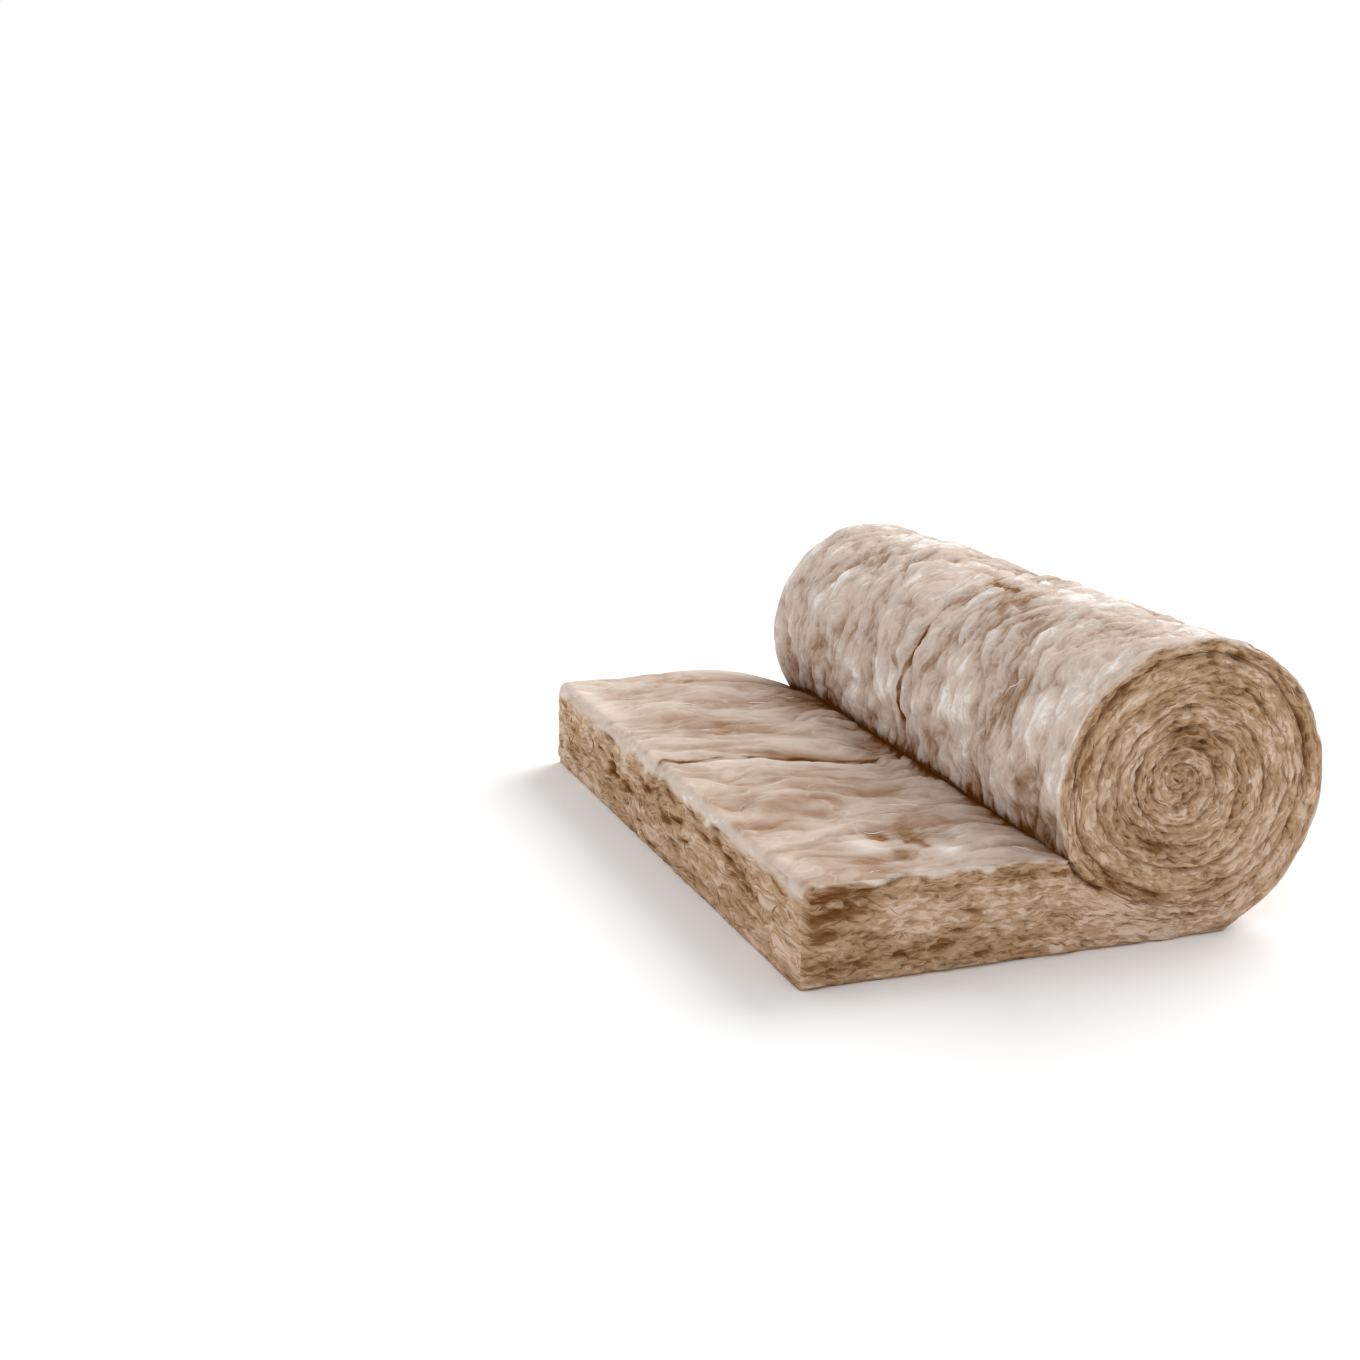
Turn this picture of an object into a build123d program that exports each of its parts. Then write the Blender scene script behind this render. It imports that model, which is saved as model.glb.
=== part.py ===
from build123d import *
from math import asin, cos, pi, sin
import os

# Glass mineral wool blanket wound on itself into a roll, its free end let out flat on the floor.
# Sizes in millimetres. X runs from the cut free end to the roll, Y along the roll's axis, Z up.
# The origin is the middle of the footprint, on the floor. The near end is the one towards -Y.

# blanket: its width, its thickness where it lies free, and the top face where it dips under the roll
blanket_width = 1140
blanket_thickness = 150
tail_reach = 585
crest_run = 90
crest_drop = 14
cut_end_rounding = 8

# roll at its near end: radius before it settles, how far it settles, and the thickness of its turns
roll_radius = 235
floor_squash = 15
outer_turn = 46
inner_turn = 21
eye_radius = 12

# towards the far end the roll is wound smaller, and its axis runs a little away from the cut end
radius_loss = 20
axis_drift = 16

# far corner of the blanket beside the roll, pressed down
corner_width = 160
corner_run = 105
corner_drop = 33

# gap between the turns, open on both ends of the roll
gap_width = 9
gap_depth = 16
gap_lead_in = 10

# part-way cut along the middle of the width, where the blanket splits into two strips
score_width = 3
score_depth = 9


def turn_thickness(radius):
    # the turns get thinner towards the eye, where the wool is wound tightest
    return inner_turn + (outer_turn - inner_turn) * radius / roll_radius


def winding_radii():
    # one radius for each quarter turn, from the outside to the eye
    radii = [roll_radius]
    while radii[-1] > eye_radius:
        radii.append(radii[-1] - turn_thickness(radii[-1]) / 4)
    return radii


def winding_centres():
    # each quarter turn runs on smoothly from the last, so its centre shifts by their step in radius
    centres = [(0, roll_radius - floor_squash)]
    for quarter in range(len(radii) - 1):
        step = radii[quarter] - radii[quarter + 1]
        end = quarter * pi / 2
        x, z = centres[quarter]
        centres.append((x + step * cos(end), z + step * sin(end)))
    return centres


def fullness(y):
    # size of the roll at a place across the width, as a share of its near end
    return 1 - radius_loss / roll_radius * (y / blanket_width + 1 / 2)


def on_turn(quarter, angle, y):
    # point on a quarter turn, at an angle about that quarter's own centre
    x, z = centres[quarter]
    foot = axis_x + axis_drift * (y / blanket_width + 1 / 2)
    size = fullness(y)
    return (foot + size * (x + radii[quarter] * cos(angle)), size * (z + radii[quarter] * sin(angle)))


def turn_arc(quarter, start, end, y):
    # arc of a quarter turn between two angles about its centre
    return ThreePointArc(
        on_turn(quarter, start, y), on_turn(quarter, (start + end) / 2, y), on_turn(quarter, end, y)
    )


def nip_angle(y, drop):
    # where the roll meets the top of the let-out length, this far below the blanket's top face
    height = (blanket_thickness - drop) / fullness(y)
    return pi + asin((centres[3][1] - height) / radii[3])


def section(y, run, drop):
    # outline of the whole blanket at a place across the width
    end = nip_angle(y, drop)
    nip = on_turn(3, end, y)
    crest = (nip[0] - run, blanket_thickness)
    with BuildSketch(Plane.XZ.offset(-y), mode=Mode.PRIVATE) as outline:
        with BuildLine():
            # underside, then the outer turn round to the nip
            Line((cut_end_x, 0), on_turn(0, lift_off_angle, y))
            turn_arc(0, lift_off_angle, 0, y)
            turn_arc(1, 0, pi / 2, y)
            turn_arc(2, pi / 2, pi, y)
            turn_arc(3, pi, end, y)
            # top of the let-out length, which dips under the roll
            TangentArc(crest, nip, tangent=(1, 0))
            Line(crest, (cut_end_x, blanket_thickness))
            Line((cut_end_x, blanket_thickness), (cut_end_x, 0))
        make_face()
    return outline.sketch


# the winding starts under the roll, and its first turn is the roll's own outline
radii = winding_radii()
centres = winding_centres()

# overall sizes, and where the underside leaves the floor
overall_length = tail_reach + centres[1][0] + radii[1]
overall_height = centres[2][1] + radii[2]
cut_end_x = -overall_length / 2
axis_x = cut_end_x + tail_reach
lift_off_angle = -asin(centres[0][1] / radii[0])

with BuildPart() as wool_blanket:
    # the roll tapers over the whole width, and the far corner dips over its last stretch
    near_end = section(-blanket_width / 2, crest_run, crest_drop)
    beside_corner = section(blanket_width / 2 - corner_width, crest_run, crest_drop)
    far_end = section(blanket_width / 2, crest_run + corner_run, crest_drop + corner_drop)
    loft(sections=[near_end, beside_corner, far_end], ruled=True)

    # soft corners of the cut free end, apart from the edge on the floor
    cut_end = wool_blanket.faces().sort_by(Axis.X)[0]
    fillet(cut_end.edges().sort_by(Axis.Z)[1:], radius=cut_end_rounding)

    # part-way cut over the top, round the roll and down the cut end, clear of the underside
    with BuildSketch(Plane.XZ, mode=Mode.PRIVATE) as core:
        add(section(0, crest_run, crest_drop))
        offset(amount=-score_depth, kind=Kind.ARC, mode=Mode.REPLACE)
    with BuildSketch(Plane.XZ):
        Rectangle(2 * overall_length, 4 * overall_height)
        add(core.sketch, mode=Mode.SUBTRACT)
        Rectangle(2 * overall_length, 2 * score_depth, mode=Mode.SUBTRACT)
    extrude(amount=score_width / 2, both=True, mode=Mode.SUBTRACT)

    # gap between the turns, cut into both ends from the nip to the eye
    for y, drop in ((-blanket_width / 2, crest_drop), (blanket_width / 2, crest_drop + corner_drop)):
        with BuildLine(Plane.XZ.offset(-y)) as winding:
            turn_arc(3, nip_angle(y, drop) - gap_lead_in / radii[3], 3 * pi / 2, y)
            for quarter in range(4, len(radii)):
                turn_arc(quarter, (quarter - 1) * pi / 2, quarter * pi / 2, y)
        # V section whose sides run on past the face of the end, so that the gap is open
        overrun = gap_depth / 4
        half_mouth = gap_width / 2 * (gap_depth + overrun) / gap_depth
        with BuildSketch(Plane(winding.line @ 0, x_dir=(0, -y, 0), z_dir=winding.line % 0)) as gap:
            with BuildLine():
                Polyline((-overrun, -half_mouth), (gap_depth, 0), (-overrun, half_mouth), close=True)
            make_face()
        sweep(sections=gap.sketch, path=winding.line, mode=Mode.SUBTRACT)

print("overall", overall_length, blanket_width, overall_height, "turns", (len(radii) - 4) / 4)
os.makedirs("parts", exist_ok=True)
wool_blanket.part.label = "wool_blanket"
export_step(wool_blanket.part, "parts/wool_blanket.step")
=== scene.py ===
from math import asin, cos, log, pi, radians, sin

import bpy
import numpy as np
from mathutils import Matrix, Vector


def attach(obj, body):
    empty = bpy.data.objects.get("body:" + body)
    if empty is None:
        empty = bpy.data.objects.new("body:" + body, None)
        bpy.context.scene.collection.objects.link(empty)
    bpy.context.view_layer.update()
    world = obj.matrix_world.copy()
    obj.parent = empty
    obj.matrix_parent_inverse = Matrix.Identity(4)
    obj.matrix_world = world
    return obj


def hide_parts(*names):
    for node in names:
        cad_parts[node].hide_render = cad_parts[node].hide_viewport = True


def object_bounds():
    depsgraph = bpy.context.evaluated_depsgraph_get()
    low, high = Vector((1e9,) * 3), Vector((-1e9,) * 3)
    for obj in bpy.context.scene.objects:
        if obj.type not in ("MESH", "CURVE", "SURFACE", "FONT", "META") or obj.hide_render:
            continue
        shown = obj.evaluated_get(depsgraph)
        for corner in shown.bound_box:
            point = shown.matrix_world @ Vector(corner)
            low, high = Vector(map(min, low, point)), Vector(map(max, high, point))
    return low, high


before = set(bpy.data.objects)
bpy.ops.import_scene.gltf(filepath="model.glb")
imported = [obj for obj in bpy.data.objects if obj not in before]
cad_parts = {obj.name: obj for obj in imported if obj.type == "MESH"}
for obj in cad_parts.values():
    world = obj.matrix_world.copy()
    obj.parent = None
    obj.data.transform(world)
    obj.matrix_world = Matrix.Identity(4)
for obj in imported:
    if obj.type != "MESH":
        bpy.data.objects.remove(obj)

cadLow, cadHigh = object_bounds()
blanketNode = "wool_blanket"
print("frame loaded, box", tuple(cadLow), tuple(cadHigh))


# random but repeatable values, worked out for whole arrays at once

def mottle(x, y, z, seed):
    # smooth values from about -1 to 1 at points in space
    x, y, z = np.broadcast_arrays(x, y, z)
    cells = [np.floor(c).astype(np.int64) for c in (x, y, z)]
    parts = [c - cell for c, cell in zip((x, y, z), cells)]
    eased = [p * p * p * (p * (p * 6 - 15) + 10) for p in parts]
    total = 0.0
    for corner in range(8):
        steps = [(corner >> axis) & 1 for axis in range(3)]
        # a well mixed whole number for this corner of every cell
        code = ((cells[0] + steps[0]) * 73856093) ^ ((cells[1] + steps[1]) * 19349663)
        code = (code ^ ((cells[2] + steps[2]) * 83492791) ^ (seed * 2654435)) & 0xFFFFFFFF
        code = ((code ^ (code >> 15)) * 2246822519) & 0xFFFFFFFF
        code = ((code ^ (code >> 13)) * 3266489917) & 0xFFFFFFFF
        code = code ^ (code >> 16)
        slopes = [((code >> shift) & 255) / 127.5 - 1 for shift in (0, 8, 16)]
        value = sum(slope * (p - s) for slope, p, s in zip(slopes, parts, steps))
        for ease, s in zip(eased, steps):
            value = value * (ease if s else 1 - ease)
        total = total + value
    return total * 1.3


def tangle(x, y, z, seed, layers):
    # several sizes of mottle on top of each other
    total = 0.0
    for layer in range(layers):
        size = 2.0 ** layer
        total = total + mottle(x * size, y * size, z * size, seed + 17 * layer) / size
    return total


def ridges(values):
    # 1 along the lines where the values cross zero, falling to 0 away from them
    return 1 - np.minimum(np.abs(values) * 2.2, 1)


def ramp(low, high, values):
    t = np.clip((values - low) / (high - low), 0, 1)
    return t * t * (3 - 2 * t)


# the blanket's section, in metres from its cut end and the floor

section = {
    "thickness": 0.151,          # where the blanket lies free
    "cornerRounding": 0.016,     # top edge of the cut end
    "rimRounding": 0.007,        # edges round both ends
    "eyeFromCutEnd": 0.6016,
    "eyeHeight": 0.2184,
    "windingRadius": 0.2324,     # from the eye to the floor, before the roll settles
    "rollRadius": 0.227,
    "outerTurn": 0.044,          # thickness of the outermost turn
    "innerTurn": 0.02,           # thickness of a turn at the eye
    "eyeRadius": 0.005,
    "eyeSlide": (-0.018, 0.011), # the innermost turns are wound a little off the middle, along and up
    "eyeSlideReach": 0.16,
    "liftAngle": 18.5,           # where the roll leaves the floor, in degrees round from under the eye
    "nipAngle": 295,             # and where it meets the top of the let-out length
    "waver": 0.0035,             # how far the turns inside wander in and out
    "fineWaver": 0.0016,
    "settle": 0.021,             # how far the lower turns are pushed up by the floor
    "settleRadius": 0.2,         # at this distance from the eye
    "settleAngle": 342,          # where round the roll this is most
    "settleReach": 72,
    "outerThinning": 0.11,       # the second turn lies closer to the rim than the winding alone would put it
    "thinningAngles": (395, 540),
    "squeeze": 0.036,            # thickness lost where the roll presses on the blanket
    "crestRun": 0.09,            # length over which the top dips under the roll
    "scale": (1.037, 0.948),     # the roll is a little fuller at the near end than at the far one
    "shift": (-0.011, 0.005),    # and its axis runs a little away from the cut end
    "farCorner": (0.36, 0.57),   # between these places across, the far corner of the blanket goes down
    "farSag": 0.11,              # the top dips over this much more length there
    "farSagTurn": 9,             # and the roll leaves the blanket this many degrees lower there
}
mesh = {
    "turnColumns": 212,          # columns in a whole turn
    "topColumns": 54,
    "crestColumns": 18,
    "slabRows": 24,              # rows across the blanket's thickness where it lies free
    "turnRows": 14,              # rows across the thickness of a turn
    "rowPitch": 0.0076,          # spacing across the width
    "splitRows": (0.0, 0.0015, 0.0042, 0.0085, 0.014),     # first rows on each side of the part-way cut
}
width = cadHigh.y - cadLow.y
cutEndX = cadLow.x
thickness = section["thickness"]

turnThinning = section["outerTurn"] - section["innerTurn"]
turnSlack = section["innerTurn"] * section["rollRadius"] / turnThinning
turnRate = turnThinning / (2 * pi * section["rollRadius"])
wholeAngle = log((section["windingRadius"] + turnSlack) / (section["eyeRadius"] + turnSlack)) / turnRate
turnColumns = mesh["turnColumns"]
stepAngle = 2 * pi / turnColumns
nipColumn = round(section["nipAngle"] / 360 * turnColumns)
liftColumn = round(section["liftAngle"] / 360 * turnColumns)
angles = np.arange(round(wholeAngle / stepAngle) + 1) * stepAngle
roundX, roundZ = np.cos(angles), np.sin(angles)
column = np.arange(len(angles))


def windingRadius(angle):
    # radius of the winding after an angle wound up from the floor
    return (section["windingRadius"] + turnSlack) * np.exp(-turnRate * angle) - turnSlack


def sectionLines(y):
    # the winding line, the top from the cut end to the nip, and the eye, at one place across
    share = y / width + 0.5
    scale = np.interp(share, (0, 1), section["scale"])
    eyeX = section["eyeFromCutEnd"] + np.interp(share, (0, 1), section["shift"])
    eyeZ = section["eyeHeight"] * scale
    slideX, slideZ = section["eyeSlide"]
    far = ramp(*section["farCorner"], y)
    slide = ramp(nipColumn - 70, nipColumn, column) * ramp(nipColumn + 60, nipColumn, column)
    turned = angles + radians(section["farSagTurn"]) * far * slide
    # the turns inside the roll wander, lie close under the outermost one and have settled
    reach = windingRadius(turned) * scale
    hidden = ramp(nipColumn, nipColumn + 20, column)
    broad = mottle(roundX * 2.4, roundZ * 2.4, angles * 0.35 + y * 4, 5)
    fine = mottle(roundX * 7, roundZ * 7, angles * 0.5 + y * 9, 6)
    wander = broad * section["waver"] + fine * section["fineWaver"]
    reach = reach + wander * ramp(0.01, 0.06, reach) * hidden
    reach = reach * (1 + section["outerThinning"] * ramp(*section["thinningAngles"], np.degrees(angles)))
    away = (np.degrees(angles) - section["settleAngle"] + 180) % 360 - 180
    pressed = np.cos(np.clip(away / section["settleReach"], -1, 1) * pi / 2) ** 2
    settled = section["settle"] / section["settleRadius"] * pressed
    reach = reach * (1 - settled * ramp(nipColumn, nipColumn + 16, column))
    slid = ramp(section["eyeSlideReach"], 0, reach)
    x = eyeX + reach * np.sin(turned) + slideX * slid
    z = eyeZ - reach * np.cos(turned) + slideZ * slid
    flat = column <= liftColumn
    x = np.where(flat, eyeX + eyeZ * np.tan(np.minimum(angles, 1)), x)
    z = np.where(flat, 0, z)
    # the top of the blanket runs level, then dips to the nip on one arc
    nipX, nipZ = x[nipColumn], z[nipColumn]
    run = section["crestRun"] + section["farSag"] * far
    drop = thickness - nipZ
    radius = (run * run + drop * drop) / (2 * drop)
    turn = np.linspace(0, 1, mesh["crestColumns"] + 1)[:-1] * asin(run / radius)
    levelX = np.linspace(section["cornerRounding"], nipX - run, mesh["topColumns"] + 1)[:-1]
    topX = np.hstack([levelX, nipX - run + radius * np.sin(turn)])
    topZ = np.hstack([np.full(len(levelX), thickness), thickness - radius * (1 - np.cos(turn))])
    return np.stack([x, z], 1), np.stack([topX, topZ], 1), (eyeX + slideX, eyeZ + slideZ)


def cutEndLine():
    # the cut end from the floor up, with its softened top corner
    upright = mesh["slabRows"] - 4
    corner, straight = section["cornerRounding"], thickness - section["cornerRounding"]
    turn = np.linspace(0, pi / 2, 6)[1:-1]
    x = np.hstack([np.zeros(upright), corner * (1 - np.cos(turn))])
    z = np.hstack([np.linspace(0, straight, upright), straight + corner * np.sin(turn)])
    return np.stack([x, z], 1)


# places across the width: close together at both rims and beside the part-way cut in the middle
rim = section["rimRounding"]
rimInset = np.array([1 - cos(radians(a)) for a in (45, 22.5, 0)]) * rim
rimPlaces = [width / 2 - rim * (1 - sin(radians(a))) for a in (0, 22.5, 45)]
halfRows = list(mesh["splitRows"])
while halfRows[-1] < rimPlaces[0] - 1.6 * mesh["rowPitch"]:
    halfRows.append(halfRows[-1] + mesh["rowPitch"])
halfRows += rimPlaces
across = np.array([-y for y in halfRows[:0:-1]] + halfRows)
rows = len(across)

windingLines, topLines, eyeAt = zip(*(sectionLines(y) for y in across))
windingLines, topLines = np.array(windingLines), np.array(topLines)     # rows, columns, x and z
cutLine = cutEndLine()
print("section lines", windingLines.shape, topLines.shape, "turns", round(wholeAngle / 2 / pi, 2))


# outer faces: columns from the floor round the roll to the nip, back over the top, then down the cut end

skin = np.hstack([
    windingLines[:, liftColumn:nipColumn + 1],
    topLines[:, ::-1],
    np.broadcast_to(cutLine[::-1], (rows,) + cutLine.shape),
])
nipAt = nipColumn - liftColumn
topEnd = nipAt + 1 + topLines.shape[1]
skinColumn = np.arange(skin.shape[1])
acrossGrid = np.array(np.broadcast_to(across[:, None], skin.shape[:2]))
outline = np.stack([skin[..., 0] + cutEndX, acrossGrid, skin[..., 1]], -1)
lengths = np.linalg.norm(np.diff(skin[rows // 2], axis=0), axis=1)
alongSkin = np.hstack([[0], np.cumsum(lengths)])      # distance round the section
fromNip = np.abs(alongSkin - alongSkin[nipAt])
onCut = ramp(topEnd, topEnd + 4, skinColumn)


def patches(places, a, b):
    # soft patches, each given by its place, its reach in both directions and its amount
    total = 0
    for a0, b0, reachA, reachB, amount in places:
        total = total + amount * np.exp(-((a - a0) / reachA) ** 2 - ((b - b0) / reachB) ** 2)
    return total


def scaled(a, b, kind, length=1.0):
    # places counted in cells of a kind of relief, whose own length may be a share of this one
    return a / (kind[1] * length), b / kind[2]


def unit(vectors):
    return vectors / np.maximum(np.linalg.norm(vectors, axis=-1, keepdims=True), 1e-9)


def surfaceNormals(points):
    return unit(np.cross(np.gradient(points, axis=0), np.gradient(points, axis=1)))


skinRelief = {
    # height, length and width; the first three lengths are shares of the length of a fold
    "lump": (0.0075, 1, 0.12), "fold": (0.0085, 1, 0.05), "wrinkle": (0.0034, 0.4, 0.023),
    "tuft": (0.0028, 0.026, 0.02),
    "rollFold": 0.1,             # length of the folds round the roll
    "topFold": 0.17,             # and along the let-out length
    "splitDepth": 0.012,
    "splitPuff": 0.0035,         # both strips stand up a little beside the split
    "tornDepth": 0.004,
    "topSmooth": 1.0,            # how smooth the grain is on the let-out length
    "backSmooth": 0.9,           # and low on the back of the roll
    # how far the split wanders from the middle, by distance from the cut end
    "splitPath": (
        (0.0, 0.03), (0.02, 0.054), (0.08, 0.034), (0.16, 0.022),
        (0.23, -0.004), (0.29, -0.05), (0.34, -0.06), (0.43, -0.012),
    ),
    # brown stains, and paler puffs where negative: distance round the section from the floor, place across
    "stains": (
        (1.295, -0.425, 0.026, 0.03, -0.9), (1.18, -0.49, 0.022, 0.035, -0.9),
        (1.28, -0.455, 0.028, 0.014, -0.6), (1.42, 0.42, 0.03, 0.16, -0.8),
        (1.275, 0.22, 0.06, 0.06, 0.35), (0.727, -0.23, 0.05, 0.05, 0.35),
        (1.08, 0.3, 0.05, 0.12, 0.5), (1.28, -0.21, 0.08, 0.025, 0.35), (0.84, -0.33, 0.09, 0.07, 0.35),
        (0.94, -0.45, 0.06, 0.07, 0.35), (0.99, -0.51, 0.03, 0.06, 0.4), (0.77, -0.53, 0.08, 0.04, -0.6),
        (0.88, -0.2, 0.07, 0.05, -0.5), (0.9, 0.05, 0.1, 0.07, -0.25),
        (0.98, 0.36, 0.03, 0.14, 0.5), (0.668, -0.16, 0.03, 0.05, 0.5),
    ),
    # places where the skin is torn and the brown wool under it shows
    "torn": (
        (1.257, -0.398, 0.017, 0.028, 0.75), (1.203, -0.398, 0.034, 0.034, 0.65),
        (1.209, -0.45, 0.02, 0.04, 0.6), (1.25, -0.492, 0.024, 0.03, 0.65),
        (1.308, -0.503, 0.024, 0.024, 0.55), (0.648, -0.03, 0.011, 0.022, 1.2),
        (0.653, -0.08, 0.01, 0.028, 1.0),
    ),
}
cutRelief = {
    # height, length and width, on the roll's ends and the long edges, then on the cut end
    "layer": (0.0055, 0.08, 0.013), "crinkle": (0.003, 0.034, 0.0066),
    "crumb": (0.0024, 0.016, 0.008), "pit": (0.0075, 0.03, 0.012),
    "endLump": (0.0045, 0.14, 0.06), "endCurl": (0.0035, 0.044, 0.016),
    "endCrumb": (0.0026, 0.026, 0.0085), "endPit": (0.009, 0.048, 0.012),
    "gapDepth": 0.0085, "gapWidth": 0.004,
    # the gaps between the turns carry painted shade, full at this depth
    "gapShadeDepth": 0.012,            # depth at which a gap is fully dark
    "eyeDepth": 0.008,
    "footInset": 0.003,          # the edges on the floor are drawn in by this much
    "stagger": 0.0045,           # how far whole turns stand in or out at the ends
    "smooth": 0.3,               # how smooth the grain is on the ends and the long edges
    "endSmooth": 0.7,            # and on the cut end
    "edgeStain": 1.55,           # strength of the stains on the long edge
    # large torn pits on the cut end: place across, height
    "tears": (
        (-0.21, 0.1, 0.03, 0.008, 1.0), (-0.31, 0.098, 0.03, 0.007, 1.0), (-0.38, 0.084, 0.022, 0.007, 0.9),
        (-0.09, 0.044, 0.028, 0.008, 0.8), (0.15, 0.066, 0.03, 0.01, 0.8), (0.24, 0.075, 0.02, 0.016, 0.8),
        (-0.06, 0.118, 0.03, 0.014, 0.6), (0.36, 0.136, 0.02, 0.006, 0.9),
    ),
    # brown stains, and paler places where negative, on the long edge: distance from the cut end, height
    "edgeStains": (
        (0.05, 0.128, 0.06, 0.009, 0.9), (0.05, 0.099, 0.05, 0.012, 0.9), (0.03, 0.073, 0.04, 0.006, 0.8),
        (0.13, 0.028, 0.14, 0.012, 0.8), (0.32, 0.118, 0.05, 0.01, 0.8), (0.36, 0.006, 0.05, 0.008, 0.7),
        (0.17, 0.088, 0.07, 0.022, -0.4), (0.34, 0.075, 0.09, 0.025, -0.4),
    ),
    # and on the roll's end: degrees round from the floor, distance from the eye
    "turnStains": (
        (337, 0.1, 30, 0.014, 0.8), (165, 0.064, 34, 0.016, 0.9), (105, 0.118, 10, 0.014, 0.7),
        (332, 0.168, 28, 0.01, 0.8), (102, 0.214, 14, 0.01, 0.8), (45, 0.212, 36, 0.02, -0.8),
        (70, 0.176, 26, 0.012, -0.5), (250, 0.072, 40, 0.016, -0.5), (65, 0.09, 36, 0.015, -0.5),
    ),
    # a tuft that stands out of the near long edge, low down beside the roll
    "edgeTuft": ((0.392, 0.014, 0.022, 0.011, 1.0),),
}


def skinHeights(s, y, length):
    # soft folds of about this length, which swirl a little, with shorter wrinkles and tufts between
    lump, fold, wrinkle, tuft = (skinRelief[kind] for kind in ("lump", "fold", "wrinkle", "tuft"))
    swirl = mottle(s / 0.2, y / 0.18, 3.1, 11) * 0.05 + mottle(s / 0.06, y / 0.06, 1.7, 12) * 0.02
    lumps = tangle(*scaled(s, y, lump, length), 0.5, 13, 2)
    folds = ridges(tangle(*scaled(s + swirl, y + swirl, fold, length), 2.5, 14, 2) * 0.8)
    wrinkles = ridges(tangle(*scaled(s - swirl, y + swirl * 1.3, wrinkle, length), 4.5, 15, 2) * 0.75)
    tufts = np.abs(tangle(*scaled(s + swirl, y + swirl, tuft), 6.5, 16, 2))
    lively = np.clip(skinRelief["rollFold"] / length, 0, 1)
    height = lump[0] * lumps - fold[0] * folds ** 1.5 * (0.3 + 0.7 * lively)
    height = height + (tuft[0] * tufts - wrinkle[0] * wrinkles ** 1.5) * lively
    # painted shade in the hollows of the folds and wrinkles, and painted light on the lumps
    hollowShade = folds ** 2 * 0.6 + wrinkles ** 2 * 0.4 * lively - 0.25 - lumps * 0.3
    return height, hollowShade, swirl


def cutHeights(along, depth, seed):
    # torn layers on the wool's cut edges: crinkled ridges that follow the length, with pits and crumbs
    layer, crinkle, crumb, pit = (cutRelief[kind] for kind in ("layer", "crinkle", "crumb", "pit"))
    depth = depth + tangle(along / 0.1, depth / 0.05, 0.3, seed, 2) * 0.007
    crinkled = depth + mottle(along / 0.017, depth / 0.019, 5.3, seed + 5) * 0.003
    layers = ridges(tangle(*scaled(along, crinkled, layer), 1.3, seed + 1, 2))
    crinkles = ridges(mottle(*scaled(along, crinkled, crinkle), 2.3, seed + 2) * 0.9)
    crumbs = mottle(*scaled(along, depth, crumb), 3.3, seed + 3)
    pits = ramp(0.3, 0.62, mottle(*scaled(along, depth, pit), 4.3, seed + 4))
    height = layer[0] * (layers - 0.5) + crinkle[0] * crinkles + crumb[0] * crumbs - pit[0] * pits
    # the tone is paler on the ridges and crinkles and darker in the pits: painted light and shade of the
    # relief
    tone = (layers - 0.45) * 0.55 + (crinkles - 0.4) * 0.4 + crumbs * 0.3 - pits * 0.8
    return height, tone


def endHeights(y, z):
    # the cut end is coarser: curly torn tufts that lie along it, with deep pits, most of them high up
    lump, curl, crumb, pit = (cutRelief["end" + kind] for kind in ("Lump", "Curl", "Crumb", "Pit"))
    swayY = mottle(y / 0.06, z / 0.034, 1.1, 41) * 0.022
    swayZ = mottle(y / 0.05, z / 0.032, 2.1, 42) * 0.012
    y, z = y + swayY, z + swayZ
    curls = ridges(tangle(*scaled(y, z, curl), 5.1, 32, 2) * 0.9)
    crumbs = mottle(*scaled(y, z, crumb), 6.1, 33)
    lumps = tangle(*scaled(y, z, lump), 8.1, 34, 2)
    calmer = ramp(-0.36, -0.48, y)
    pits = mottle(*scaled(y, z, pit), 9.1, 35) + 0.15 * lumps
    pits = pits - 0.25 * np.abs(z / thickness - 0.62)
    pits = ramp(0.2, 0.5, pits) * (1 - 0.8 * calmer)
    pits = np.clip(pits * 0.7 + patches(cutRelief["tears"], y, z) * (0.8 + 0.5 * crumbs), 0, 1)
    pits = pits * ramp(0.142, 0.126, z)
    height = lump[0] * lumps + (curl[0] * curls + crumb[0] * crumbs) * (1 - 0.5 * calmer) - pit[0] * pits
    # the tone is paler on the curls and lumps and darker in the pits: painted light and shade of the relief
    tone = ((curls - 0.45) * 0.6 + crumbs * 0.35) * (1 - 0.5 * calmer)
    tone = tone + 0.25 * lumps - pits * 1.1 + 0.25 * ramp(0.25, 0.5, y)
    return height, tone, (y, z), pits


onRoll = skinColumn <= nipAt
foldLength = np.where(onRoll, skinRelief["rollFold"], skinRelief["topFold"])
skinHeight, skinHollowShade, swirl = skinHeights(alongSkin, acrossGrid, foldLength)
endHeight, endTone, (endY, endZ) = endHeights(acrossGrid, skin[..., 1])[:3]
# shade lies on the pits' far walls, as only those can be seen from the near end
endShade = endHeights(acrossGrid - 0.014, skin[..., 1])[3]
fromRim = width / 2 - np.abs(acrossGrid)
fromCorner = np.abs(alongSkin - alongSkin[topEnd])
calm = ramp(0, 0.035, fromNip) * ramp(0, 0.03, alongSkin)
calm = calm * (0.35 + 0.65 * ramp(0, 0.03, fromRim))
calm = calm * (0.45 + 0.55 * ramp(0, 0.03, fromCorner))

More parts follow.
